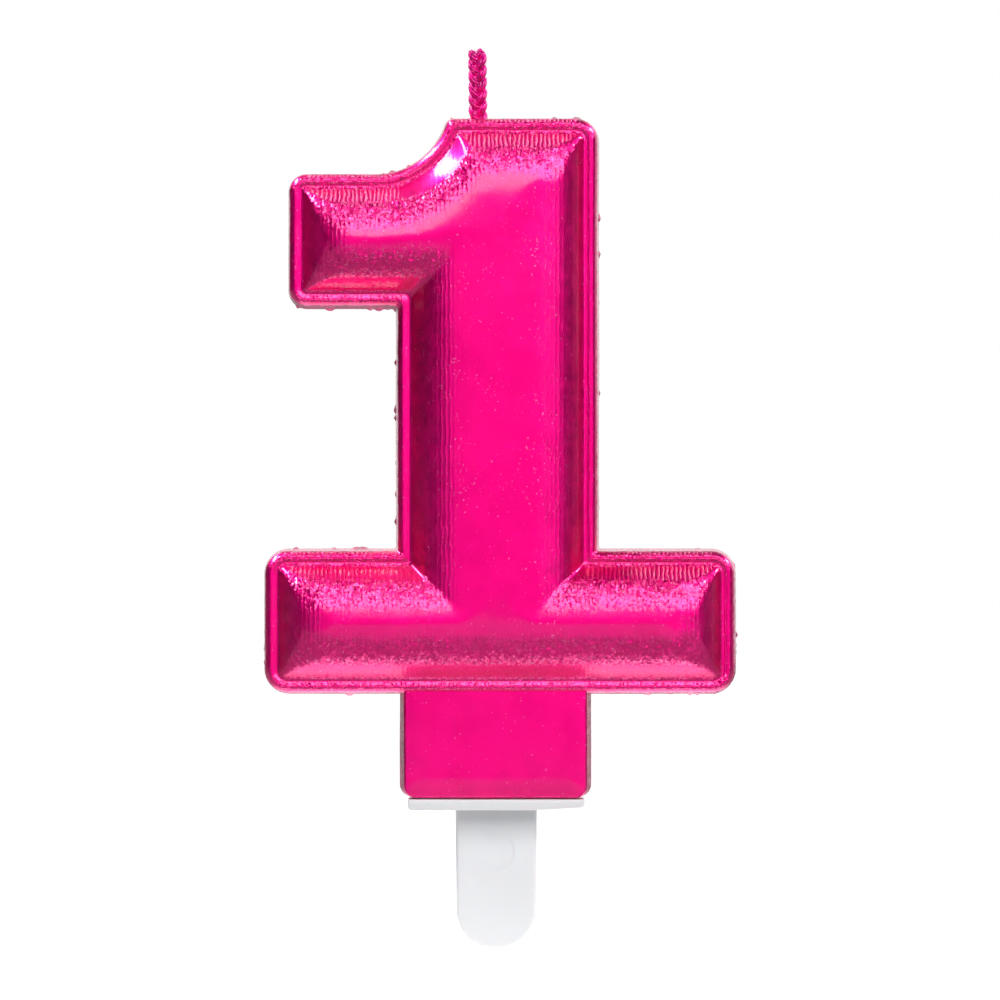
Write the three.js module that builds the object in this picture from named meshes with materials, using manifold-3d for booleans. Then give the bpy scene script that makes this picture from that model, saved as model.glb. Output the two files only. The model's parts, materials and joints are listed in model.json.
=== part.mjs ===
// A birthday candle in the shape of the number one: a moulded wax numeral on a wax block, with a
// plaited wick in its top and a white plastic pick under it. Millimetres, +Z up, the numeral faces -Y.
// The origin is the middle of the underside of the pick's plate, where it meets the icing.
import * as THREE from "three";
import { mergeVertices } from "three/addons/utils/BufferGeometryUtils.js";
import Module from "manifold-3d";

const wasm = await Module();
wasm.setup();

// Pick: the plate, the prong that goes into the cake, and the tongue that the wax sits on
const plateWidth = 18.2;
const plateDepth = 10.4;
const plateThickness = 1.1;
const plateCornerRadius = 0.45;
const plateWingRise = 0.3; // how far the right wing's underside rises by its end
const prongLength = 14.5;
const prongTopWidth = 8.4;
const prongTipWidth = 8.2;
const prongThickness = 1.5;
const prongEdgeRound = 0.25;
const ejectorMarkRadius = 1.9;
const ejectorMarkDepth = 0.08;
const ejectorMarkDrop = 4.45; // from the plate down to the middle of the round mark
const tongueHeight = 8.6;
const tongueWidth = 7.0;
const tongueTipWidth = 5.4;
const tongueThickness = 1.3;
const tongueClearance = 0.3;
const seatGap = 0.1; // between the plate and the wax that rests on it

// Wax block under the numeral
const blockWidth = 19.9;
const blockHeight = 10.66;
const blockDepth = 7.6;
const blockCornerRadius = 1.3;
const blockOffset = -0.08;

// Wax numeral, seen from the front
const numeralHeight = 59.74;
const footWidth = 49.0;
const footHeight = 15.12;
const footOffset = 0.39; // the foot's middle, to the right of the pick's
const footCornerRadius = 2.6;
const stemWidth = 21.12;
const stemOffset = 0.13;
const stemCornerRadius = 2.5;
const flagReach = 11.18; // out to the left of the stem
const flagHeight = 14.06;
const flagDrop = 5.74; // from the stem's top down to the flag's top
const flagCornerRadius = 2.0;
const flagFilletRadius = 0.5;
const footFilletRadius = 0.25;
const swooshRadius = 7.65; // the hollow curve from the flag's top up to the stem's top
const swooshSetOut = 2.13; // its centre, to the left of the stem's side
const swooshTipRadius = 0.8;

// Wax numeral, from its flat back towards the front
const wallDepth = 8.0; // back to the ledge inside the rim
const wallDraft = 0.6; // how far the walls lean in on their way to the front
const backBand = 0.5; // the first stretch of the wall, which stands straight
const rimRoundWidth = 1.0;
const rimRoundDepth = 1.4;
const creaseInset = 1.7; // outline to the foot of the raised face
const plateauInset = 5.3; // outline to where the raised face is flat
const faceRise = 3.2; // ledge to the flat of the raised face
const blockEdgeRound = 0.35;

// Wick: three strands plaited flat
const wickWidth = 1.96;
const strandRadius = 0.24;
const wickFromStemSide = 8.54;
const wickExposed = 6.8;
const wickEndAboveFoot = 4.0; // lower end of the wick, above the underside of the foot
const wickClearance = 0.25;
const wickFrontDepth = 4.0; // middle of the wick, forward of the wax's back
const strandCount = 3;
const strandPitchRatio = 15; // length of one strand's wave, in strand radii
const strandWeaveRatio = 1.92; // its swing to the front and back, in strand radii

// How finely round shapes are divided
const cornerStep = THREE.MathUtils.degToRad(16);
const bevelSteps = 5;
const strandSides = 6;
const strandStepsPerWave = 9;

// Places that follow from the sizes
const blockBottom = plateThickness + seatGap;
const numeralBase = blockBottom + blockHeight;
const numeralTop = numeralBase + numeralHeight;
const footTop = numeralBase + footHeight;
const footLeft = footOffset - footWidth / 2;
const footRight = footOffset + footWidth / 2;
const stemLeft = stemOffset - stemWidth / 2;
const stemRight = stemOffset + stemWidth / 2;
const flagLeft = stemLeft - flagReach;
const flagTop = numeralTop - flagDrop;
const flagBottom = flagTop - flagHeight;
const waxBack = blockDepth / 2; // the block stands in the middle of the plate
const wickX = stemLeft + wickFromStemSide;
const wickBottom = numeralBase + wickEndAboveFoot;
const wickTop = numeralTop + wickExposed;

const waxMaterial = new THREE.MeshStandardMaterial({ color: 0xee0a7c, roughness: 0.32, metalness: 0.35 });
const wickMaterial = new THREE.MeshStandardMaterial({ color: 0xc80a68, roughness: 0.55, metalness: 0.1 });
const pickMaterial = new THREE.MeshStandardMaterial({ color: 0xf1f3f6, roughness: 0.35, metalness: 0 });

// A closed three.js geometry as a solid that can be joined and cut.
function toSolid(geometry) {
  const bare = new THREE.BufferGeometry();
  bare.setAttribute("position", geometry.getAttribute("position"));
  if (geometry.index) bare.setIndex(geometry.index);
  const merged = mergeVertices(bare, 1e-4);
  const vertProperties = merged.getAttribute("position").array;
  const triVerts = new Uint32Array(merged.index.array);
  return new wasm.Manifold(new wasm.Mesh({ numProp: 3, vertProperties, triVerts }));
}

function toGeometry(solid) {
  const { vertProperties, triVerts } = solid.getMesh();
  const geometry = new THREE.BufferGeometry();
  geometry.setAttribute("position", new THREE.BufferAttribute(vertProperties, 3));
  geometry.setIndex(new THREE.BufferAttribute(triVerts, 1));
  geometry.computeVertexNormals();
  return geometry;
}

function boxSolid(low, high) {
  const size = high.clone().sub(low);
  const middle = low.clone().add(high).multiplyScalar(0.5);
  const box = new THREE.BoxGeometry(size.x, size.y, size.z);
  return toSolid(box.translate(middle.x, middle.y, middle.z));
}

// Points along an arc, both ends included.
function arcPoints(centre, radius, from, to) {
  const steps = Math.max(1, Math.ceil(Math.abs(to - from) / cornerStep));
  const points = [];
  for (let i = 0; i <= steps; i += 1) {
    const angle = from + ((to - from) * i) / steps;
    const reach = new THREE.Vector2(Math.cos(angle), Math.sin(angle)).multiplyScalar(radius);
    points.push(centre.clone().add(reach));
  }
  return points;
}

// One corner of an outline rounded to a radius, as points from its first tangent to its second.
function cornerPoints(before, corner, after, radius) {
  if (radius < 0.02) return [corner];
  const back = before.clone().sub(corner).normalize();
  const on = after.clone().sub(corner).normalize();
  const half = Math.acos(THREE.MathUtils.clamp(back.dot(on), -1, 1)) / 2;
  const bisector = back.clone().add(on).normalize();
  const centre = corner.clone().addScaledVector(bisector, radius / Math.sin(half));
  const start = corner.clone().addScaledVector(back, radius / Math.tan(half)).sub(centre).angle();
  const end = corner.clone().addScaledVector(on, radius / Math.tan(half)).sub(centre).angle();
  let sweep = end - start;
  if (sweep > Math.PI) sweep -= 2 * Math.PI;
  if (sweep < -Math.PI) sweep += 2 * Math.PI;
  return arcPoints(centre, radius, start, start + sweep);
}

// An outline of straight sides from its corners, each given as [x, z, radius].
function roundedPoints(corners) {
  const places = corners.map(([x, z]) => new THREE.Vector2(x, z));
  const count = corners.length;
  return corners.flatMap(([, , radius], i) =>
    cornerPoints(places[(i + count - 1) % count], places[i], places[(i + 1) % count], radius));
}

// The swoosh, from the stem's top edge over its rounded tip and down to the flag's top edge. Moved
// inwards, its radius grows about the same centre.
function swooshPoints(inset) {
  const centre = new THREE.Vector2(stemLeft - swooshSetOut, flagTop + swooshRadius);
  const radius = swooshRadius + inset;
  const tipRadius = Math.max(swooshTipRadius - inset, 0);
  const tipZ = numeralTop - inset - tipRadius;
  const tipReach = Math.sqrt((radius + tipRadius) ** 2 - (centre.y - tipZ) ** 2);
  const tip = new THREE.Vector2(centre.x + tipReach, tipZ);
  const fromTip = centre.clone().sub(tip).angle();
  const rounded = tipRadius > 0 ? arcPoints(tip, tipRadius, Math.PI / 2, fromTip) : [tip];
  const hollow = arcPoints(centre, radius, fromTip - Math.PI, -Math.PI / 2);
  return [...rounded, ...hollow.slice(1)];
}

// The numeral's outline from the front, with every side moved inwards by the inset. Outer corners
// keep what is left of their radius, and inner corners gain the inset, or when mitred have no radius.
function numeralShape(inset, mitred = false) {
  const left = (x) => x + inset;
  const right = (x) => x - inset;
  const over = (z) => z - inset;
  const under = (z) => z + inset;
  const outer = (radius) => Math.max(radius - inset, 0);
  const inner = (radius) => (mitred ? 0 : radius + inset);
  const swoosh = swooshPoints(inset).map((point) => [point.x, point.y, 0]);
  return new THREE.Shape(roundedPoints([
    [left(footLeft), under(numeralBase), outer(footCornerRadius)],
    [right(footRight), under(numeralBase), outer(footCornerRadius)],
    [right(footRight), over(footTop), outer(footCornerRadius)],
    [right(stemRight), over(footTop), inner(footFilletRadius)],
    [right(stemRight), over(numeralTop), outer(stemCornerRadius)],
    ...swoosh,
    [left(flagLeft), over(flagTop), outer(flagCornerRadius)],
    [left(flagLeft), under(flagBottom), outer(flagCornerRadius)],
    [left(stemLeft), under(flagBottom), inner(flagFilletRadius)],
    [left(stemLeft), over(footTop), inner(footFilletRadius)],
    [left(footLeft), over(footTop), outer(footCornerRadius)],
  ]));
}

// Takes off all that lies behind the wax's flat back, the plane z = 0.
function cutBack(geometry) {
  const reach = 2 * (footWidth + numeralTop);
  const behind = boxSolid(new THREE.Vector3(-reach, -reach, -reach), new THREE.Vector3(reach, reach, 0));
  return toSolid(geometry).subtract(behind);
}

// The numeral up to its ledge: the walls stand straight for the back band, lean in by the draft on
// their way to the front, and end in a rounded rim.
function numeralSlab() {
  const leaning = new THREE.ExtrudeGeometry(numeralShape(wallDraft), {
    depth: 2 * backBand,
    bevelSize: wallDraft,
    bevelThickness: wallDepth - backBand,
    bevelSegments: 1,
  });
  const rimmed = new THREE.ExtrudeGeometry(numeralShape(rimRoundWidth), {
    depth: wallDepth,
    bevelSize: rimRoundWidth,
    bevelThickness: rimRoundDepth,
    bevelSegments: bevelSteps,
  });
  leaning.translate(0, 0, -backBand);
  rimmed.translate(0, 0, -rimRoundDepth);
  return cutBack(leaning).intersect(toSolid(rimmed));
}

// The block, from the plate up into the foot. Its sides lean in as the numeral's walls do, and its
// underside stays level to sit on the plate.
function blockSlab() {
  const edge = blockEdgeRound;
  const half = blockWidth / 2 - edge;
  const top = numeralBase + footHeight / 2;
  const outline = new THREE.Shape(roundedPoints([
    [-half, blockBottom + edge, blockCornerRadius - edge],
    [half, blockBottom + edge, blockCornerRadius - edge],
    [half, top, 0],
    [-half, top, 0],
  ]));
  const geometry = new THREE.ExtrudeGeometry(outline, {
    depth: blockDepth,
    bevelSize: edge,
    bevelThickness: edge,
    bevelSegments: bevelSteps,
  });
  geometry.translate(0, 0, -edge);
  const places = geometry.getAttribute("position");
  for (let i = 0; i < places.count; i += 1) {
    const lean = (wallDraft * Math.max(places.getZ(i), 0)) / blockDepth;
    places.setX(i, places.getX(i) * (1 - lean / (blockWidth / 2)));
  }
  return cutBack(geometry.translate(blockOffset, 0, 0));
}

// The pillow-like face: flat inside the plateau inset, and falling ever more steeply to the crease.
// Its slopes meet in mitred creases.
function raisedFace() {
  const buried = wallDepth - faceRise - backBand;
  const face = new THREE.ExtrudeGeometry(numeralShape(plateauInset, true), {
    depth: buried,
    bevelSize: plateauInset - creaseInset,
    bevelThickness: faceRise,
    bevelSegments: bevelSteps,
  });
  return toSolid(face.translate(0, 0, wallDepth - buried));
}

function wickBore() {
  const section = new THREE.Shape();
  const halfWidth = wickWidth / 2 + wickClearance;
  const halfThickness = strandRadius * (1 + strandWeaveRatio) + wickClearance;
  section.absellipse(0, 0, halfWidth, halfThickness, 0, 2 * Math.PI);
  const length = wickTop - wickBottom + wickClearance;
  const bore = new THREE.ExtrudeGeometry(section, { depth: length, bevelEnabled: false, curveSegments: 8 });
  bore.rotateX(-Math.PI / 2);
  return toSolid(bore.translate(wickX, wickBottom - wickClearance, wickFrontDepth));
}

// The tongue seen from the front, or with a clearance round it, the slot it slides in.
function tongueGeometry(clearance) {
  const foot = tongueWidth / 2 + clearance;
  const tip = tongueTipWidth / 2 + clearance;
  const top = plateThickness + tongueHeight + clearance;
  const thickness = tongueThickness + 2 * clearance;
  const outline = new THREE.Shape(roundedPoints([
    [-foot, plateThickness / 2, 0],
    [foot, plateThickness / 2, 0],
    [foot, top - tongueHeight / 3, 0],
    [tip, top, 0],
    [-tip, top, 0],
    [-foot, top - tongueHeight / 3, 0],
  ]));
  const tongue = new THREE.ExtrudeGeometry(outline, { depth: thickness, bevelEnabled: false });
  return tongue.translate(0, 0, -thickness / 2);
}

function waxBody() {
  const slot = toSolid(tongueGeometry(tongueClearance).translate(0, 0, waxBack));
  const solid = numeralSlab()
    .add(raisedFace())
    .add(blockSlab())
    .subtract(slot)
    .subtract(wickBore());
  const mesh = new THREE.Mesh(toGeometry(solid), waxMaterial);
  mesh.name = "wax_body";
  mesh.rotation.x = Math.PI / 2; // from lying on its back to standing up
  mesh.position.y = waxBack;
  return mesh;
}

// One strand of the wick: it swings from side to side once while it goes twice from front to back,
// so that each strand passes over one neighbour and under the next.
class StrandCurve extends THREE.Curve {
  constructor(phase) {
    super();
    this.phase = phase;
    this.arcLengthDivisions = 1500;
  }
  getPoint(t, target = new THREE.Vector3()) {
    const z = THREE.MathUtils.lerp(wickBottom, wickTop, t);
    const angle = this.phase + (2 * Math.PI * (wickTop - z)) / (strandPitchRatio * strandRadius);
    const swing = wickWidth / 2 - strandRadius;
    const weave = strandRadius * strandWeaveRatio;
    return target.set(swing * Math.sin(angle), weave * Math.sin(2 * angle), z);
  }
}

function wickStrand(index) {
  const waves = (wickTop - wickBottom) / (strandPitchRatio * strandRadius);
  const section = new THREE.Shape(
    arcPoints(new THREE.Vector2(0, 0), strandRadius, 0, 2 * Math.PI)
      .slice(1)
      .filter((_, i, all) => i % Math.round(all.length / strandSides) === 0),
  );
  const geometry = new THREE.ExtrudeGeometry(section, {
    extrudePath: new StrandCurve((2 * Math.PI * index) / strandCount),
    steps: Math.ceil(waves * strandStepsPerWave),
  });
  const mesh = new THREE.Mesh(geometry, wickMaterial);
  mesh.name = `wick_strand_${index + 1}`;
  return mesh;
}

function wick() {
  const group = new THREE.Group();
  for (let i = 0; i < strandCount; i += 1) group.add(wickStrand(i));
  group.position.set(wickX, waxBack - wickFrontDepth, 0);
  return group;
}

function pickPlate() {
  const half = plateWidth / 2;
  const outline = new THREE.Shape(roundedPoints([
    [-half, 0, plateCornerRadius],
    [prongTopWidth / 2, 0, 0],
    [half, plateWingRise, plateCornerRadius],
    [half, plateThickness, 0],
    [-half, plateThickness, 0],
  ]));
  const plate = new THREE.ExtrudeGeometry(outline, { depth: plateDepth, bevelEnabled: false });
  return toSolid(plate.translate(0, 0, -plateDepth / 2));
}

// The prong: two straight sides that close in a little, and a half-round end.
function pickProng() {
  const tipRadius = prongTipWidth / 2 - prongEdgeRound;
  const tipMiddle = new THREE.Vector2(0, -prongLength + prongTipWidth / 2);
  const topHalf = prongTopWidth / 2 - prongEdgeRound;
  const outline = new THREE.Shape([
    new THREE.Vector2(topHalf, plateThickness / 2),
    new THREE.Vector2(-topHalf, plateThickness / 2),
    ...arcPoints(tipMiddle, tipRadius, -Math.PI, 0),
  ]);
  const prong = new THREE.ExtrudeGeometry(outline, {
    depth: prongThickness - 2 * prongEdgeRound,
    bevelSize: prongEdgeRound,
    bevelThickness: prongEdgeRound,
    bevelSegments: 2,
  });
  return toSolid(prong.translate(0, 0, prongEdgeRound - prongThickness / 2));
}

function ejectorMark() {
  const disc = new THREE.CylinderGeometry(ejectorMarkRadius, ejectorMarkRadius, 2 * ejectorMarkDepth, 32);
  disc.rotateX(Math.PI / 2);
  return toSolid(disc.translate(0, -ejectorMarkDrop, prongThickness / 2));
}

function pick() {
  const solid = pickPlate()
    .add(pickProng())
    .add(toSolid(tongueGeometry(0)))
    .subtract(ejectorMark());
  const mesh = new THREE.Mesh(toGeometry(solid), pickMaterial);
  mesh.name = "pick";
  mesh.rotation.x = Math.PI / 2;
  return mesh;
}

const candle = new THREE.Group();
candle.add(waxBody(), wick(), pick());

export default candle;
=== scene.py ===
# Number one birthday candle: a lacquered wax numeral, a plaited wick and a white plastic pick
import json
import math

import bmesh
import bpy
import numpy as np
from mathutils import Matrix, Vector, noise
from mathutils.geometry import delaunay_2d_cdt

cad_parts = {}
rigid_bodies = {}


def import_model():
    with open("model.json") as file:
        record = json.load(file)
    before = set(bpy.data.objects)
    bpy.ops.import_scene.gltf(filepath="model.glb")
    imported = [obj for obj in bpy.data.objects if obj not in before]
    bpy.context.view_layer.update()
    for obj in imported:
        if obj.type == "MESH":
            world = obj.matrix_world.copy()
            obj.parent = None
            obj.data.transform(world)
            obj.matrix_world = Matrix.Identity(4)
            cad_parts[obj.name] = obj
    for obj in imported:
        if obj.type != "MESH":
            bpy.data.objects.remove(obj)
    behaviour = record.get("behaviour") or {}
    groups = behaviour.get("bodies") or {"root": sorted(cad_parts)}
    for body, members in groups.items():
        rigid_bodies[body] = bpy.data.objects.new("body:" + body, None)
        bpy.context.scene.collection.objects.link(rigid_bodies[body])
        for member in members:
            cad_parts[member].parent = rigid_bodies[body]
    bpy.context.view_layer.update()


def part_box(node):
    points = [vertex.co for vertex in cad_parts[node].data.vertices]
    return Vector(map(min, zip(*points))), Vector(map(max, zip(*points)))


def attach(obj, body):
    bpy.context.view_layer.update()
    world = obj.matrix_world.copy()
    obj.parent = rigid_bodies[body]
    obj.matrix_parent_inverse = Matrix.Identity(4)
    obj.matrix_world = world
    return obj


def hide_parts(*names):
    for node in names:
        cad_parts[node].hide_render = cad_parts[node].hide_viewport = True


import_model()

# lengths are in millimetres until a mesh or a light is made; -y is the front
mm = 0.001


def frameBox(node):
    low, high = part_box(node)
    return np.array(low) / mm, np.array(high) / mm


waxLow, waxHigh = frameBox("wax_body")
pickLow, pickHigh = frameBox("pick")
wickLow, wickHigh = frameBox("wick_strand_1")


# outlines are points (x, z), going round anticlockwise as seen from the front
def arc(centre, radius, fromAngle, toAngle, steps):
    angles = np.linspace(fromAngle, toAngle, steps + 1)
    reach = radius * np.column_stack((np.cos(angles), np.sin(angles)))
    return np.array(centre) + reach


# the arc that rounds a corner, from its first tangent to its second
def cornerArc(before, corner, after, radius, steps):
    back = (before - corner) / np.linalg.norm(before - corner)
    on = (after - corner) / np.linalg.norm(after - corner)
    half = math.acos(np.clip(back @ on, -1, 1)) / 2
    centre = corner + (back + on) / np.linalg.norm(back + on) * radius / math.sin(half)
    start = corner + back * radius / math.tan(half) - centre
    end = corner + on * radius / math.tan(half) - centre
    first = math.atan2(start[1], start[0])
    sweep = math.remainder(math.atan2(end[1], end[0]) - first, 2 * math.pi)
    return arc(centre, radius, first, first + sweep, steps)


# straight runs of evenly spaced points between stretches that are already dense
def joinStretches(stretches, counts):
    ring = []
    for i, stretch in enumerate(stretches):
        onward = stretches[(i + 1) % len(stretches)][0]
        share = np.arange(1, counts[i])[:, None] / counts[i]
        ring += [stretch, stretch[-1] + (onward - stretch[-1]) * share]
    return np.vstack(ring)


def straightCounts(stretches, spacing):
    following = stretches[1:] + stretches[:1]
    gaps = [np.linalg.norm(b[0] - a[-1]) for a, b in zip(stretches, following)]
    return [max(1, round(gap / spacing)) for gap in gaps]


# the stretches of an outline whose corners are (x, z, radius)
def cornerStretches(corners, steps):
    places = [np.array(c[:2]) for c in corners]
    return [
        cornerArc(places[i - 1], places[i], places[(i + 1) % len(places)], corners[i][2], steps)
        for i in range(len(corners))
    ]


def insideRing(points, ring):
    x, z = points[:, 0, None], points[:, 1, None]
    ax, az = ring[:, 0], ring[:, 1]
    bx, bz = np.roll(ax, -1), np.roll(az, -1)
    crosses = (az > z) != (bz > z)
    rise = np.where(bz == az, 1, bz - az)
    return (crosses & (x < (bx - ax) * (z - az) / rise + ax)).sum(1) % 2 == 1


# triangles that fill a ring, with loose points spaced evenly inside it
def fillRing(ring, step):
    low, high = ring.min(0), ring.max(0)
    xs = np.arange(low[0] + step / 2, high[0], step)
    zs = np.arange(low[1] + step / 2, high[1], step * 0.87)      # rows of near equal triangles
    grid = np.array([(x + (row % 2) * step / 2, z) for row, z in enumerate(zs) for x in xs])
    grid = grid[insideRing(grid, ring)]
    room = np.array([np.linalg.norm(ring - point, axis=1).min() for point in grid])
    clear = room > step * 0.55      # points nearer the ring than this would make slivers
    loose, room = grid[clear], room[clear]
    count = len(ring)
    edges = [(i, (i + 1) % count) for i in range(count)]
    everyPoint = [Vector(p) for p in np.vstack((ring, loose))]
    _, _, faces, origins, _, _ = delaunay_2d_cdt(everyPoint, edges, [], 1, 1e-6)
    names = [o[0] for o in origins]
    return loose, room, [[names[i] for i in face] for face in faces]


# skins rings of equal length from back to front and fills both ends; each ring is (points, y),
# and dome lifts the loose points of the front end by their room to the ring
def loft(name, rings, capStep=1.5, dome=None):
    count = len(rings[0][0])
    verts = [(x, y, z) for ring, y in rings for x, z in ring]
    faces = []
    for i in range(len(rings) - 1):
        for j in range(count):
            k = (j + 1) % count
            faces.append((i * count + j, i * count + k, (i + 1) * count + k, (i + 1) * count + j))
    for end in (0, len(rings) - 1):
        ring, y = rings[end]
        loose, room, fill = fillRing(ring, capStep)
        start = len(verts)
        lift = dome(room) if dome and end else np.zeros(len(loose))
        verts += [(x, y - up, z) for (x, z), up in zip(loose, lift)]
        place = lambda i: end * count + i if i < count else start + i - count
        faces += [tuple(place(i) for i in face) for face in fill]
    return meshObject(name, np.array(verts), faces)


def meshObject(name, verts, faces):
    mesh = bpy.data.meshes.new(name)
    mesh.from_pydata([tuple(v) for v in np.array(verts) * mm], [], faces)
    tidy = bmesh.new()
    tidy.from_mesh(mesh)
    bmesh.ops.recalc_face_normals(tidy, faces=tidy.faces)
    tidy.to_mesh(mesh)
    tidy.free()
    piece = bpy.data.objects.new(name, mesh)
    bpy.context.scene.collection.objects.link(piece)
    return piece


# joins or cuts piece with tool, which is used up
def combine(piece, tool, operation):
    modifier = piece.modifiers.new(operation.lower(), "BOOLEAN")
    modifier.operation = operation
    modifier.solver = "MANIFOLD"
    modifier.object = tool
    graph = bpy.context.evaluated_depsgraph_get()
    made = bpy.data.meshes.new_from_object(piece.evaluated_get(graph))
    piece.modifiers.clear()
    piece.data = made
    bpy.data.objects.remove(tool)
    return piece


# pushes every point along its normal by a smooth noise of the given size
def ruffle(piece, size, height, seed):
    offset = Vector((seed * 17.3, seed * 5.1, seed * 9.7))
    directions = [vertex.normal.copy() for vertex in piece.data.vertices]
    for vertex, direction in zip(piece.data.vertices, directions):
        vertex.co += direction * noise.noise(vertex.co / (size * mm) + offset) * height * mm


def smoothShade(piece, angle):
    mesh = piece.data
    mesh.shade_smooth()
    mesh.set_sharp_from_angle(angle=math.radians(angle))


# the wax body: the numeral and the block under it, one casting
wax = {
    "blockHeight": 10.66, "blockWidth": 19.9, "blockDepth": 7.6, "blockOffset": -0.08,
    "blockCorner": 1.3, "buriedCorner": 0.3, "blockEdge": 0.22, "blockLean": 0.5,
    "blockSpacing": 0.5,
    "footHeight": 15.12, "footCorner": 2.6, "footFillet": 0.25,
    "stemWidth": 21.12, "stemOffset": 0.13, "stemCorner": 2.5,
    "flagReach": 11.18, "flagHeight": 14.06, "flagDrop": 5.74,
    "flagCorner": 2.0, "flagFillet": 0.5,
    "swooshRadius": 7.65, "swooshSetOut": 2.13, "swooshTip": 1.1, "tipSwell": 0.5,
    "wallDepth": 8.0, "lean": 0.22, "wallFrom": 0.5, "wallRings": 14,
    "backEdge": ((0.14, 0), (0.04, 0.04), (0, 0.14)),      # inset and height
    "rimStart": 6.7, "rimCrest": 0.9, "rimSteps": 9,
    # rise for each step inwards, at each inset
    "steepness": (
        (0.9, 0), (1.0, -0.2), (1.35, -0.27), (1.6, 0.4), (1.85, 1.05), (2.1, 1.3), (2.6, 1.3),
        (3, 1.1), (3.4, 0.8), (3.8, 0.56), (4.2, 0.42), (4.7, 0.3), (5.3, 0.2), (6, 0.12),
        (6.5, 0.08),
    ),
    "plateauDome": 0.15, "domeReach": 1.8,
    "creaseRadius": 0.3,      # what is left of a corner's rounding at the foot of the slope
    # the slopes run together more softly higher up
    "cornerSwell": 1.1, "swellFrom": 2, "swellLimit": 6.6, "hollowSwell": 0.06,
    "spacing": 0.36, "cornerSteps": 9, "swooshSteps": 34, "slopeRings": 42, "plateauStep": 0.5,
    "slotClearance": 0.3,
    # size and height of the unevenness that casting leaves
    "swell": (9, 0.05), "dimple": (1.6, 0.012), "sharpAngle": 38,
}


def swooshStretch(inset, top, flagTop, stemLeft):
    centre = np.array((stemLeft - wax["swooshSetOut"], flagTop + wax["swooshRadius"]))
    radius = wax["swooshRadius"] + inset
    tipRadius = max(wax["swooshTip"] - inset, 2 * wax["creaseRadius"])
    tipRadius += max(0, inset - wax["swellFrom"]) * wax["tipSwell"]
    tipZ = top - inset - tipRadius
    reach = math.sqrt((radius + tipRadius) ** 2 - (centre[1] - tipZ) ** 2)
    tip = centre + (reach, tipZ - centre[1])
    turn = math.atan2(centre[1] - tip[1], centre[0] - tip[0])
    rounded = arc(tip, tipRadius, math.pi / 2, turn, wax["cornerSteps"])
    hollow = arc(centre, radius, turn - math.pi, -math.pi / 2, wax["swooshSteps"])
    return np.vstack((rounded, hollow[1:]))


# the numeral's outline with every side moved in by the inset, as dense stretches
def numeralStretches(inset):
    base = waxLow[2] + wax["blockHeight"]
    footTop = base + wax["footHeight"]
    top = waxHigh[2]
    flagTop = top - wax["flagDrop"]
    flagBottom = flagTop - wax["flagHeight"]
    stemLeft = wax["stemOffset"] - wax["stemWidth"] / 2
    stemRight = wax["stemOffset"] + wax["stemWidth"] / 2
    flagLeft = stemLeft - wax["flagReach"]
    fuller = max(0, inset - wax["swellFrom"]) * wax["cornerSwell"]
    fuller = min(fuller, wax["swellLimit"] - inset)

    def outer(name):
        return max(wax[name] - inset, wax["creaseRadius"]) + fuller

    def hollow(name):
        return wax[name] + wax["hollowSwell"] * inset

    corners = [
        (waxLow[0] + inset, base + inset, outer("footCorner")),
        (waxHigh[0] - inset, base + inset, outer("footCorner")),
        (waxHigh[0] - inset, footTop - inset, outer("footCorner")),
        (stemRight - inset, footTop - inset, hollow("footFillet")),
        (stemRight - inset, top - inset, outer("stemCorner")),
        (stemLeft, flagTop - inset, 0.0),      # the swoosh takes this corner's place
        (flagLeft + inset, flagTop - inset, outer("flagCorner")),
        (flagLeft + inset, flagBottom + inset, outer("flagCorner")),
        (stemLeft + inset, flagBottom + inset, hollow("flagFillet")),
        (stemLeft + inset, footTop - inset, hollow("footFillet")),
        (waxLow[0] + inset, footTop - inset, outer("footCorner")),
    ]
    stretches = cornerStretches(corners, wax["cornerSteps"])
    # the stem's corner turns on to the level top, not towards the placeholder
    below, corner = np.array(corners[3][:2]), np.array(corners[4][:2])
    level = np.array((stemLeft, top - inset))
    stretches[4] = cornerArc(below, corner, level, corners[4][2], wax["cornerSteps"])
    stretches[5] = swooshStretch(inset, top, flagTop, stemLeft)
    return stretches


# how far each ring stands forward of the back, with its inset: wall, rim, ledge and slope
def numeralProfile():
    depth, lean, crest = wax["wallDepth"], wax["lean"], wax["rimCrest"]
    start = wax["rimStart"]
    profile = list(wax["backEdge"])
    for height in np.linspace(wax["wallFrom"], start, wax["wallRings"]):
        profile.append((lean * height / start, height))
    for turn in np.linspace(0, math.pi / 2, wax["rimSteps"])[1:]:
        profile.append((
            crest + (lean - crest) * math.cos(turn),
            start + (depth - start) * math.sin(turn),
        ))
    insets, steepness = np.array(wax["steepness"]).T
    fine = np.linspace(crest, insets[-1], 400)
    gained = np.cumsum(np.interp(fine, insets, steepness)) * (fine[1] - fine[0])
    rise = waxHigh[1] - waxLow[1] - depth - wax["plateauDome"]
    gained = np.where(gained > 0, gained * (rise / gained[-1]), gained)
    for inset in np.linspace(crest, insets[-1], wax["slopeRings"])[1:]:
        profile.append((inset, depth + np.interp(inset, fine, gained)))
    return profile


def plateauDome(room):
    return wax["plateauDome"] * (1 - np.exp(-room / wax["domeReach"]))


def makeNumeral():
    counts = straightCounts(numeralStretches(0), wax["spacing"])
    rings = [
        (joinStretches(numeralStretches(inset), counts), waxHigh[1] - height)
        for inset, height in numeralProfile()
    ]
    rings[1:4] = [(addFlash(ring), y) for ring, y in rings[1:4]]
    return loft("waxBody", rings, wax["plateauStep"], plateauDome)


flash = {
    "reach": 0.2, "patchScale": 0.55, "patchFrom": 0.15, "crumbScale": 3.1, "crumbFrom": 0.12,
    "strength": 6,
}


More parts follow.
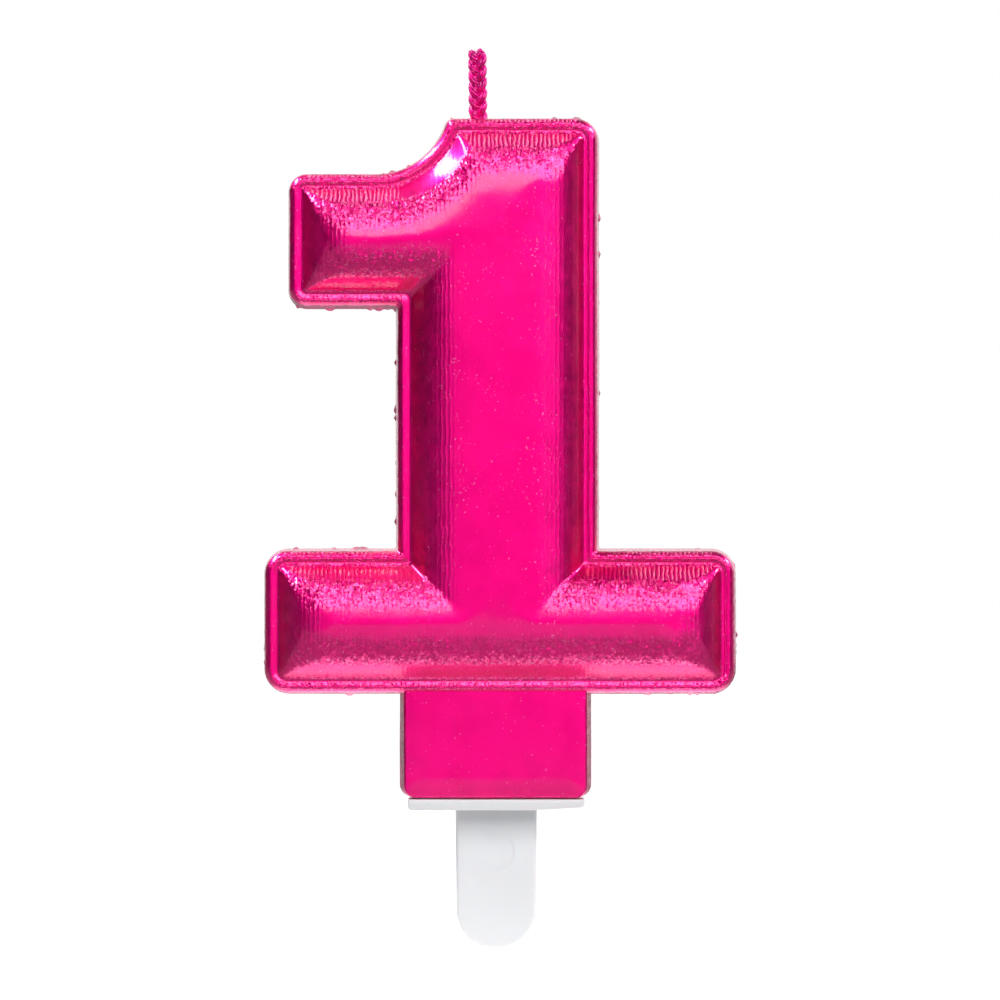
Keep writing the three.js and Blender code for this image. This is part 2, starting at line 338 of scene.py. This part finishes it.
# flakes of lacquer and wax that stand out from the back edge here and there
def addFlash(ring):
    along = np.roll(ring, -1, 0) - np.roll(ring, 1, 0)
    outward = np.column_stack((along[:, 1], -along[:, 0]))
    outward /= np.linalg.norm(outward, axis=1)[:, None] + 1e-9
    reach = []
    for x, z in ring:
        patch = noise.noise(Vector((x * flash["patchScale"], z * flash["patchScale"], 4.0)))
        crumb = noise.noise(Vector((x * flash["crumbScale"], z * flash["crumbScale"], 9.0)))
        grown = max(0, patch - flash["patchFrom"]) * max(0, crumb - flash["crumbFrom"])
        reach.append(min(flash["reach"], grown * flash["strength"]))
    return ring + outward * np.array(reach)[:, None]


# inset and height of each ring round the back and front edges of a flat piece
def edgeProfile(edge, depth, steps):
    turns = np.linspace(0, math.pi / 2, steps)
    back = [(edge * (1 - math.sin(turn)), edge * (1 - math.cos(turn))) for turn in turns]
    return back + [(inset, depth - height) for inset, height in reversed(back)]


# a flat piece with rounded edges front and back: corners(inset) gives its outline, moved in
def slab(name, corners, back, depth, edge, lean=0, middle=0, spacing=0.8, steps=8):
    counts = straightCounts(cornerStretches(corners(0), steps), spacing)
    rings = []
    for inset, height in edgeProfile(edge, depth, 5):
        ring = joinStretches(cornerStretches(corners(inset), steps), counts)
        half = np.abs(ring[:, 0] - middle).max()
        ring[:, 0] -= (ring[:, 0] - middle) / half * lean * height / depth
        rings.append((ring, back - height))
    return loft(name, rings)


def blockCorners(inset):
    half = wax["blockWidth"] / 2 - inset
    low = waxLow[2] + inset
    high = waxLow[2] + wax["blockHeight"] + wax["footHeight"] / 2      # half way up the foot
    corner, buried = wax["blockCorner"] - inset, wax["buriedCorner"]
    middle = wax["blockOffset"]
    return [
        (middle - half, low, corner), (middle + half, low, corner),
        (middle + half, high, buried), (middle - half, high, buried),
    ]


# the pick: plate, prong and tongue, one moulding
pick = {
    "plateThickness": 1.1, "plateCorner": 0.45, "plateKnee": 1.0, "plateTopCorner": 0.08,
    "wingRise": 0.3, "plateEdge": 0.16,
    "prongTop": 8.4, "prongTip": 8.2, "prongThickness": 1.5, "prongEdge": 0.36,
    "tipSteps": 40, "sideSteps": 16, "topSteps": 8, "prongCapStep": 0.8,
    "tongueWidth": 7.0, "tongueTip": 5.4, "tongueThickness": 1.3, "tongueEdge": 0.12,
    "tongueFoot": 0.05, "tongueCorner": 0.5,
    "markRadius": 1.9, "markDepth": 0.09, "markDrop": 4.45, "markSteps": 72, "cutterReach": 0.5,
    "sharpAngle": 32,
}


# the tongue, or with a clearance the slot round it
def tongueCorners(clearance):
    def corners(inset):
        grow = clearance - inset
        foot, tip = pick["tongueWidth"] / 2 + grow, pick["tongueTip"] / 2 + grow
        high, low = pickHigh[2] + grow, pick["plateThickness"] / 2
        shoulder = high - (pickHigh[2] - pick["plateThickness"]) / 3      # its top third tapers
        sharp, soft = pick["tongueFoot"], pick["tongueCorner"]
        return [
            (-foot, low, sharp), (foot, low, sharp), (foot, shoulder, soft),
            (tip, high, soft), (-tip, high, soft), (-foot, shoulder, soft),
        ]
    return corners


def makeTongue(name, clearance):
    thickness = pick["tongueThickness"] + 2 * clearance
    return slab(name, tongueCorners(clearance), thickness / 2, thickness, pick["tongueEdge"])


def makeWaxBody():
    piece = makeNumeral()
    block = slab(
        "block", blockCorners, waxHigh[1], wax["blockDepth"], wax["blockEdge"],
        lean=wax["blockLean"], middle=wax["blockOffset"], spacing=wax["blockSpacing"],
    )
    combine(piece, block, "UNION")
    combine(piece, makeTongue("slot", wax["slotClearance"]), "DIFFERENCE")
    ruffle(piece, *wax["swell"], seed=1)
    ruffle(piece, *wax["dimple"], seed=2)
    smoothShade(piece, wax["sharpAngle"])
    return piece


waxBody = makeWaxBody()
print("wax body:", len(waxBody.data.polygons), "faces")


# the wick: three strands plaited flat, each a bundle of dyed yarns
wick = {
    "strands": 3, "width": 2.0, "pitch": 3.6, "weave": 0.26,
    "yarns": 6, "yarnRadius": 0.16, "bundle": 0.27, "twist": 1.7,      # twist in radians each mm
    "plump": 0.22, "plumpScale": 2.2,
    "buried": 1.6, "shorter": (0.0, 0.22, 0.08), "topRoom": 0.1, "ragged": 0.07,
    "taper": (0.95, 0.8, 0.5), "lean": -0.012,
    "step": 0.09, "sides": 8, "sharpAngle": 60,
}


def strandPoint(z, phase):
    angle = phase + 2 * math.pi * (wickHigh[2] - z) / wick["pitch"]
    swing = wick["width"] / 2 - wick["bundle"] - wick["yarnRadius"]
    middle = (wickLow + wickHigh) / 2
    x = middle[0] + swing * math.sin(angle) + wick["lean"] * (z - waxHigh[2])
    return np.array((x, middle[1] + wick["weave"] * math.sin(2 * angle), z))


# the two ways square to a path at each of its points
def pathFrame(path):
    along = np.gradient(path, axis=0)
    along /= np.linalg.norm(along, axis=1)[:, None]
    across = np.cross(along, (0, 1, 0))
    across /= np.linalg.norm(across, axis=1)[:, None]
    return across, np.cross(across, along)


# a tube round a path, closed at both ends, with a radius at each point
def tube(path, radii, sides):
    across, up = pathFrame(path)
    verts, faces = [], []
    for i, point in enumerate(path):
        for j in range(sides):
            turn = 2 * math.pi * j / sides
            spoke = across[i] * math.cos(turn) + up[i] * math.sin(turn)
            verts.append(point + radii[i] * spoke)
    for i in range(len(path) - 1):
        for j in range(sides):
            k = (j + 1) % sides
            faces.append((i * sides + j, i * sides + k, (i + 1) * sides + k, (i + 1) * sides + j))
    last = (len(path) - 1) * sides
    faces.append(tuple(reversed(range(sides))))
    faces.append(tuple(last + j for j in range(sides)))
    return verts, faces


def makeStrand(index):
    phase = 2 * math.pi * index / wick["strands"]
    verts, faces = [], []
    bottom = waxHigh[2] - wick["buried"]
    for yarn in range(wick["yarns"]):
        ragged = wick["ragged"] * noise.noise(Vector((index * 3.1, yarn * 7.7, 0.5)))
        top = wickHigh[2] - wick["shorter"][index] - wick["topRoom"] + ragged
        heights = np.linspace(bottom, top, round((top - bottom) / wick["step"]))
        spine = np.array([strandPoint(z, phase) for z in heights])
        across, out = pathFrame(spine)
        turn = (2 * math.pi * yarn / wick["yarns"] + wick["twist"] * (heights - bottom))[:, None]
        path = spine + wick["bundle"] * (across * np.cos(turn) + out * np.sin(turn))
        places = [Vector((yarn * 5.0, index * 2.0, z * wick["plumpScale"])) for z in heights]
        plump = [1 + wick["plump"] * noise.noise(place) for place in places]
        radii = wick["yarnRadius"] * np.array(plump)
        radii[-len(wick["taper"]):] *= wick["taper"]
        some, skin = tube(path, radii, wick["sides"])
        faces += [tuple(i + len(verts) for i in face) for face in skin]
        verts += some
    return meshObject(f"wickStrand{index + 1}", verts, faces)


wickStrands = [makeStrand(i) for i in range(wick["strands"])]
for strand in wickStrands:
    smoothShade(strand, wick["sharpAngle"])
print("wick:", sum(len(s.data.polygons) for s in wickStrands), "faces")


def plateCorners(inset):
    half = pickHigh[0] - inset
    high = pick["plateThickness"] - inset
    corner, topCorner = pick["plateCorner"] - inset, pick["plateTopCorner"]
    return [
        (-half, inset, corner), (pick["prongTop"] / 2, inset, pick["plateKnee"]),
        (half, pick["wingRise"] + inset, corner),
        (half, high, topCorner), (-half, high, topCorner),
    ]


def prongRing(inset):
    tipHalf, topHalf = pick["prongTip"] / 2 - inset, pick["prongTop"] / 2 - inset
    tip = arc((0, pickLow[2] + pick["prongTip"] / 2), tipHalf, -math.pi, 0, pick["tipSteps"])
    high = pick["plateThickness"] / 2
    top = np.array([(topHalf, high), (-topHalf, high)])
    side = pick["sideSteps"]
    return joinStretches([tip, top[:1], top[1:]], [side, pick["topSteps"], side])


def makeProng():
    depth = pick["prongThickness"]
    profile = edgeProfile(pick["prongEdge"], depth, 6)
    rings = [(prongRing(inset), depth / 2 - height) for inset, height in profile]
    return loft("prong", rings, pick["prongCapStep"])


# the shallow round mark that the mould's ejector pin leaves on the prong
def makeMark():
    middle = (0, -pick["markDrop"])
    circle = arc(middle, pick["markRadius"], 0, 2 * math.pi, pick["markSteps"])[:-1]
    front = -pick["prongThickness"] / 2
    return loft("mark", [
        (circle, front + pick["markDepth"]), (circle, front - pick["cutterReach"]),
    ])


def makePick():
    depth = pickHigh[1] - pickLow[1]
    piece = slab("pickPlate", plateCorners, pickHigh[1], depth, pick["plateEdge"])
    combine(piece, makeProng(), "UNION")
    combine(piece, makeTongue("tongue", 0), "UNION")
    combine(piece, makeMark(), "DIFFERENCE")
    piece.name = piece.data.name = "whitePick"
    smoothShade(piece, pick["sharpAngle"])
    return piece


whitePick = makePick()
print("pick:", len(whitePick.data.polygons), "faces")


# the materials work in millimetres of the piece itself
def newMaterial(name):
    material = bpy.data.materials.new(name)
    material.use_nodes = True
    tree = material.node_tree
    shader = tree.nodes["Principled BSDF"]
    place = tree.nodes.new("ShaderNodeTexCoord")
    size = tree.nodes.new("ShaderNodeMapping")
    size.inputs["Scale"].default_value = (1 / mm, 1 / mm, 1 / mm)
    tree.links.new(place.outputs["Object"], size.inputs["Vector"])
    return material, tree, shader, size.outputs["Vector"]


# inputs go by their names, or by place as i0 and i1 where the names repeat
def addNode(tree, kind, settings=None, **inputs):
    made = tree.nodes.new("ShaderNode" + kind)
    for key, value in (settings or {}).items():
        setattr(made, key, value)
    for key, value in inputs.items():
        socket = made.inputs[int(key[1:]) if key[0] == "i" and key[1:].isdigit() else key]
        if isinstance(value, bpy.types.NodeSocket):
            tree.links.new(value, socket)
        else:
            socket.default_value = value
    return made


def maths(tree, operation, *values):
    inputs = {f"i{i}": value for i, value in enumerate(values)}
    return addNode(tree, "Math", {"operation": operation}, **inputs).outputs[0]


def product(tree, first, *others):
    for other in others:
        first = maths(tree, "MULTIPLY", first, other)
    return first


def vectorMaths(tree, operation, first, second):
    return addNode(tree, "VectorMath", {"operation": operation}, i0=first, i1=second).outputs


def noiseAt(tree, vector, scale, detail=3.0, rough=0.55):
    made = addNode(tree, "TexNoise", Vector=vector, Scale=scale, Detail=detail, Roughness=rough)
    return made.outputs["Fac"]


noiseSpan = (0.3, 0.7)      # nearly all of a noise's values lie between these


def ramp(tree, value, fromLow, fromHigh, toLow=0.0, toHigh=1.0):
    limits = {"From Min": fromLow, "From Max": fromHigh, "To Min": toLow, "To Max": toHigh}
    made = addNode(tree, "MapRange", {"interpolation_type": "SMOOTHSTEP"}, Value=value, **limits)
    return made.outputs["Result"]


def mixColour(tree, factor, first, second):
    made = addNode(tree, "Mix", {"data_type": "RGBA"}, Factor=factor)
    for socket, value in ((made.inputs[6], first), (made.inputs[7], second)):
        if isinstance(value, bpy.types.NodeSocket):
            tree.links.new(value, socket)
        else:
            socket.default_value = (*value, 1)
    return made.outputs[2]


# depth is in millimetres, and normal is the relief that this one stands on
def bump(tree, height, depth, normal=None):
    made = addNode(tree, "Bump", Height=height, Distance=depth * mm, Strength=1.0)
    if normal is not None:
        tree.links.new(normal, made.inputs["Normal"])
    return made.outputs["Normal"]


lacquer = {
    # the pale pink is the colour of random flecks and also of the painted glints
    "pink": (0.94, 0.0016, 0.235), "deep": (0.88, 0.001, 0.215), "scuffAndGlint": (0.97, 0.13, 0.42),
    "cloudScale": 0.22, "cloud": (0.4, 0.65),
    "fleckScale": 3.4, "fleck": (0.785, 0.82), "driftScale": 0.35, "drift": 0.2,
    "metal": 1.0, "rough": 0.54, "slopeRough": 0.42, "blotchScale": 1.1, "blotch": (-0.04, 0.05),
    "coatWeight": 1.0, "coatRough": 0.12, "coatIor": 1.5,
    "groove": 0.018, "groovePitch": 0.45, "grooveSway": 1.1, "swayScale": 0.9,
    "facet": 0.5, "facetScale": 3.9, "grain": 0.035, "grainScale": 4.3,
    # crest is the strength of the painted glints: pale stipples that stand in for reflections of
    # the lights
    "crest": 0.2, "glintScale": 4.6, "glintFrom": 0.52, "glintTo": 0.62,
    "plateauShare": 0.12, "sideShare": 0.07,      # relief left on the plateau and on upright sides
    # for each kind of face: the range of its direction that fades it, and the strengths there
    "sloped": (-0.9997, -0.985), "leaning": (0.02, 0.3), "corner": (0.1, 0.22, 1.0, 0.1),
    "gentle": (-0.93, -0.8, 1.0, 0.25), "steep": (-0.74, -0.65, 1.0, 0.12),
    "wall": (-0.5, -0.25, 0.0, 0.75), "upper": (-0.3, -0.05, 0.25, 1.0),
    # upward and underneath place the painted glints on slopes facing up and the stronger painted
    # reflection on slopes facing down
    "upward": (0.04, 0.2), "underneath": (-0.4, -0.55, 0.0, 4.2),
}


# where the relief of the mould shows: masks for its grooves and its grain, and a mask for painted
# glints, pale stipples on grained slopes facing up and down
def reliefMasks(tree):
    direction = addNode(tree, "TexCoord").outputs["Normal"]
    faces = addNode(tree, "SeparateXYZ", Vector=direction).outputs
    sloped = ramp(tree, faces["Y"], *lacquer["sloped"], lacquer["plateauShare"])
    upright = maths(tree, "ABSOLUTE", faces["Z"])
    leaning = ramp(tree, upright, *lacquer["leaning"], lacquer["sideShare"])
    gentle = ramp(tree, faces["Y"], *lacquer["gentle"])
    wall = ramp(tree, faces["Y"], *lacquer["wall"])
    steep = ramp(tree, faces["Y"], *lacquer["steep"])
    diagonal = maths(tree, "ABSOLUTE", product(tree, faces["X"], faces["Z"]))
    corner = ramp(tree, diagonal, *lacquer["corner"])
    upper = ramp(tree, faces["Z"], *lacquer["upper"])
    grained = maths(tree, "MAXIMUM", product(tree, leaning, steep, corner), wall)
    grooved = product(tree, maths(tree, "MAXIMUM", gentle, leaning), corner, upper)
    upward = ramp(tree, faces["Z"], *lacquer["upward"])
    underneath = ramp(tree, faces["Z"], *lacquer["underneath"])
    grainMask = product(tree, sloped, grained)
    glintMask = product(tree, maths(tree, "MAXIMUM", upward, underneath), grainMask)
    return sloped, product(tree, sloped, grooved), grainMask, glintMask


# the mould was cut in upright passes that wander a little and leave a cusp between them
def cutterCusps(tree, place):
    across = addNode(tree, "SeparateXYZ", Vector=place).outputs["X"]
    sway = noiseAt(tree, place, lacquer["swayScale"], 3, 0.6)
    sway = product(tree, sway, lacquer["grooveSway"])
    passes = maths(tree, "ADD", maths(tree, "DIVIDE", across, lacquer["groovePitch"]), sway)
    twice = maths(tree, "MULTIPLY", maths(tree, "FRACT", passes), 2.0)
    fromMiddle = maths(tree, "ABSOLUTE", maths(tree, "SUBTRACT", twice, 1.0))
    return maths(tree, "POWER", fromMiddle, 2.0)


# small flats, each tipped its own way
def tippedFacets(tree, place):
    cell = addNode(tree, "TexVoronoi", Vector=place, Scale=lacquer["facetScale"]).outputs
    offset = vectorMaths(tree, "SUBTRACT", place, cell["Position"])["Vector"]
    tip = vectorMaths(tree, "SUBTRACT", cell["Color"], (0.5, 0.5, 0.5))["Vector"]
    return vectorMaths(tree, "DOT_PRODUCT", offset, tip)["Value"]


def lacqueredWax():
    material, tree, shader, place = newMaterial("lacqueredWax")
    shader.inputs["Metallic"].default_value = lacquer["metal"]
    shader.inputs["Coat Weight"].default_value = lacquer["coatWeight"]
    shader.inputs["Coat Roughness"].default_value = lacquer["coatRough"]
    shader.inputs["Coat IOR"].default_value = lacquer["coatIor"]
    sloped, grooveMask, grainMask, glintMask = reliefMasks(tree)

    cloud = ramp(tree, noiseAt(tree, place, lacquer["cloudScale"], 2), *lacquer["cloud"])
    colour = mixColour(tree, cloud, lacquer["pink"], lacquer["deep"])
    drift = product(tree, noiseAt(tree, place, lacquer["driftScale"], 2), lacquer["drift"])
    fleck = maths(tree, "ADD", noiseAt(tree, place, lacquer["fleckScale"], 2, 0.6), drift)
    colour = mixColour(tree, ramp(tree, fleck, *lacquer["fleck"]), colour, lacquer["scuffAndGlint"])
    # painted glints: pale stipples on grained slopes facing up and down, standing in for
    # reflections of the lights
    crest = noiseAt(tree, place, lacquer["glintScale"], 1)
    crest = ramp(tree, crest, lacquer["glintFrom"], lacquer["glintTo"], 0.0, lacquer["crest"])
    colour = mixColour(tree, product(tree, crest, glintMask), colour, lacquer["scuffAndGlint"])
    tree.links.new(colour, shader.inputs["Base Color"])

    # the relief is brighter and sharper than the flat, which the lacquer has levelled to satin
    blotch = noiseAt(tree, place, lacquer["blotchScale"], 4, 0.6)
    blotch = ramp(tree, blotch, *noiseSpan, *lacquer["blotch"])
    ends = (lacquer["rough"], lacquer["slopeRough"])
    satin = ramp(tree, sloped, lacquer["plateauShare"], 1.0, *ends)
    tree.links.new(maths(tree, "ADD", satin, blotch), shader.inputs["Roughness"])

    grain = noiseAt(tree, place, lacquer["grainScale"], 2)
    cusps = product(tree, cutterCusps(tree, place), grooveMask)
    normal = bump(tree, cusps, lacquer["groove"])
    facets = product(tree, tippedFacets(tree, place), grainMask)
    normal = bump(tree, facets, lacquer["facet"], normal)
    normal = bump(tree, product(tree, grain, grainMask), lacquer["grain"], normal)
    tree.links.new(normal, shader.inputs["Normal"])
    tree.links.new(normal, shader.inputs["Coat Normal"])
    return material


cotton = {
    "bright": (0.94, 0.0012, 0.34), "dark": (0.6, 0.0008, 0.22),
    "patchScale": 1.6, "patch": (0.35, 0.65),
    "metal": 0.9, "rough": (0.45, 0.6), "roughScale": 5, "coatWeight": 0.8, "coatRough": 0.1,
    "fibre": 0.02, "fibreScale": 3.2, "fibreBend": 3.0, "fuzz": 0.09, "fuzzScale": 4.2,
}


def dyedWick():
    material, tree, shader, place = newMaterial("dyedWick")
    shader.inputs["Metallic"].default_value = cotton["metal"]
    shader.inputs["Coat Weight"].default_value = cotton["coatWeight"]
    shader.inputs["Coat Roughness"].default_value = cotton["coatRough"]
    patches = ramp(tree, noiseAt(tree, place, cotton["patchScale"], 3), *cotton["patch"])
    colour = mixColour(tree, patches, cotton["bright"], cotton["dark"])
    tree.links.new(colour, shader.inputs["Base Color"])
    rough = noiseAt(tree, place, cotton["roughScale"], 2)
    rough = ramp(tree, rough, *noiseSpan, *cotton["rough"])
    tree.links.new(rough, shader.inputs["Roughness"])
    fibres = addNode(
        tree, "TexWave", {"wave_type": "BANDS", "bands_direction": "DIAGONAL"}, Vector=place,
        Scale=cotton["fibreScale"], Distortion=cotton["fibreBend"], Detail=2.0,
    ).outputs["Fac"]
    normal = bump(tree, fibres, cotton["fibre"])
    normal = bump(tree, noiseAt(tree, place, cotton["fuzzScale"], 2), cotton["fuzz"], normal)
    tree.links.new(normal, shader.inputs["Normal"])
    return material


plastic = {
    "shade": (0.71, 0.72, 0.74), "light": (0.74, 0.75, 0.77), "cloudScale": 0.25,
    "rough": (0.28, 0.38), "roughScale": 1.4, "subsurface": 0.12, "subsurfaceDepth": 1.0,
    "ripple": 0.006, "rippleScale": 3.0,
}


def whitePlastic():
    material, tree, shader, place = newMaterial("whitePlastic")
    shader.inputs["Subsurface Weight"].default_value = plastic["subsurface"]
    shader.inputs["Subsurface Scale"].default_value = plastic["subsurfaceDepth"] * mm
    cloud = noiseAt(tree, place, plastic["cloudScale"], 2)
    colour = mixColour(tree, cloud, plastic["shade"], plastic["light"])
    tree.links.new(colour, shader.inputs["Base Color"])
    rough = noiseAt(tree, place, plastic["roughScale"], 4)
    rough = ramp(tree, rough, *noiseSpan, *plastic["rough"])
    tree.links.new(rough, shader.inputs["Roughness"])
    ripple = noiseAt(tree, place, plastic["rippleScale"], 4)
    tree.links.new(bump(tree, ripple, plastic["ripple"]), shader.inputs["Normal"])
    return material


def finishPiece(piece, material, slotName, body, *nodes):
    piece.data.materials.clear()
    piece.data.materials.append(material)
    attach(piece, body)
    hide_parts(*nodes)


finishPiece(waxBody, lacqueredWax(), "lacquered_wax", "candle", "wax_body")
wickMaterial = dyedWick()
for i, strand in enumerate(wickStrands):
    finishPiece(strand, wickMaterial, "wick_cotton", "candle", f"wick_strand_{i + 1}")
finishPiece(whitePick, whitePlastic(), "white_plastic", "pick", "pick")
print("materials done")


# the studio: pale floor, soft lights, and the camera straight in front
studio = {
    # camera and floor height in millimetres; everything further down in metres
    "distance": 1200.0, "frameWidth": 103.56, "lookX": 0.39, "lookZ": 32.0, "sensor": 36,
    "floorDrop": 10.0,
    "nearest": 0.05, "farthest": 20,
    "floorSide": 3.0, "floorFront": 0.6, "floorBack": 3.0,
    "floorColour": (0.16, 0.16, 0.16), "floorRough": 0.8, "floorGlow": 1.6, "floorDim": 0.09,
    "patchNear": 0.035, "patchFar": 0.075, "patchBack": 0.035,
    "backGlow": 0.9, "frontGlow": 0.003, "backFrom": 0.66, "backTo": 0.86, "backLean": 0.4,
    "aimHeight": 0.032,
    "keyX": 0.22, "keyDistance": 0.8, "keyElevation": 27, "keyRaise": 0.03,
    "keyWidth": 1.1, "keyHeight": 0.48, "keyGlow": 4.6,
    "overX": -0.05, "overY": 0.0, "overZ": 0.55,
    "overWidth": 0.8, "overLength": 0.05, "overGlow": 5.5,
    "leftX": -0.4, "leftZ": 0.45, "leftLength": 0.55,
    "rightX": 0.46, "rightZ": 0.38, "rightLength": 0.22,
    "cornerY": 0.1, "cornerWidth": 0.12, "cornerGlow": 18.0,
}


# the floor looks white, but gives back little light away from a patch under the candle
def makeFloor():
    side, back = studio["floorSide"] / mm, studio["floorBack"] / mm
    front = -studio["floorFront"] / mm
    z = pickLow[2] - studio["floorDrop"]
    corners = [(-side, front, z), (side, front, z), (side, back, z), (-side, back, z)]
    floor = meshObject("floor", corners, [(0, 1, 2, 3)])
    material = bpy.data.materials.new("paleFloor")
    material.use_nodes = True
    tree = material.node_tree
    shader = tree.nodes["Principled BSDF"]
    shader.inputs["Base Color"].default_value = (*studio["floorColour"], 1)
    shader.inputs["Roughness"].default_value = studio["floorRough"]
    shader.inputs["Emission Color"].default_value = (1, 1, 1, 1)
    spot = addNode(tree, "TexCoord").outputs["Object"]
    away = vectorMaths(tree, "DISTANCE", spot, (0, studio["patchBack"], z * mm))["Value"]
    patch = (studio["patchNear"], studio["patchFar"])
    patch = ramp(tree, away, *patch, studio["floorGlow"], studio["floorDim"])
    seen = addNode(tree, "LightPath").outputs["Is Camera Ray"]
    tree.links.new(maths(tree, "MAXIMUM", patch, seen), shader.inputs["Emission Strength"])
    floor.data.materials.append(material)


# glow is the brightness of the light's face, whatever its size
def softbox(name, place, width, height, glow):
    aim = Vector((0, 0, studio["aimHeight"]))
    light = bpy.data.lights.new(name, "AREA")
    light.shape = "RECTANGLE"
    light.size, light.size_y = width, height
    light.energy = glow * math.pi * width * height
    lamp = bpy.data.objects.new(name, light)
    lamp.location = place
    lamp.rotation_euler = (aim - Vector(place)).to_track_quat("-Z", "Y").to_euler()
    lamp.visible_camera = False
    bpy.context.scene.collection.objects.link(lamp)


# the world looks white, and lights the piece from behind only
def makeWorld():
    world = bpy.data.worlds.new("paleStudio")
    bpy.context.scene.world = world
    world.use_nodes = True
    tree = world.node_tree
    background = tree.nodes["Background"]
    direction = addNode(tree, "TexCoord").outputs["Generated"]
    toward = addNode(tree, "SeparateXYZ", Vector=direction).outputs
    way = maths(tree, "ADD", toward["Y"], product(tree, toward["X"], studio["backLean"]))
    back = (studio["backFrom"], studio["backTo"], studio["frontGlow"], studio["backGlow"])
    seen = addNode(tree, "LightPath").outputs["Is Camera Ray"]
    level = maths(tree, "MAXIMUM", ramp(tree, way, *back), seen)
    background.inputs["Color"].default_value = (1, 1, 1, 1)
    tree.links.new(level, background.inputs["Strength"])


def makeCamera():
    camera = bpy.data.cameras.new("camera")
    camera.sensor_width = studio["sensor"]
    camera.lens = studio["sensor"] * studio["distance"] / studio["frameWidth"]
    camera.clip_start, camera.clip_end = studio["nearest"], studio["farthest"]
    stand = bpy.data.objects.new("camera", camera)
    stand.location = (studio["lookX"] * mm, -studio["distance"] * mm, studio["lookZ"] * mm)
    stand.rotation_euler = (math.pi / 2, 0, 0)
    bpy.context.scene.collection.objects.link(stand)
    bpy.context.scene.camera = stand


def makeLights():
    rise, reach = math.radians(studio["keyElevation"]), studio["keyDistance"]
    key = (studio["keyX"], -reach * math.cos(rise), reach * math.sin(rise) + studio["keyRaise"])
    softbox("keySoftbox", key, studio["keyWidth"], studio["keyHeight"], studio["keyGlow"])
    over = (studio["overX"], studio["overY"], studio["overZ"])
    softbox("overheadSoftbox", over, studio["overWidth"], studio["overLength"], studio["overGlow"])
    for side in ("left", "right"):
        corner = (studio[side + "X"], studio["cornerY"], studio[side + "Z"])
        length = studio[side + "Length"]
        softbox(side + "Softbox", corner, length, studio["cornerWidth"], studio["cornerGlow"])


makeFloor()
makeLights()
makeWorld()
makeCamera()
bpy.context.scene.view_settings.view_transform = "Standard"
print("studio done")
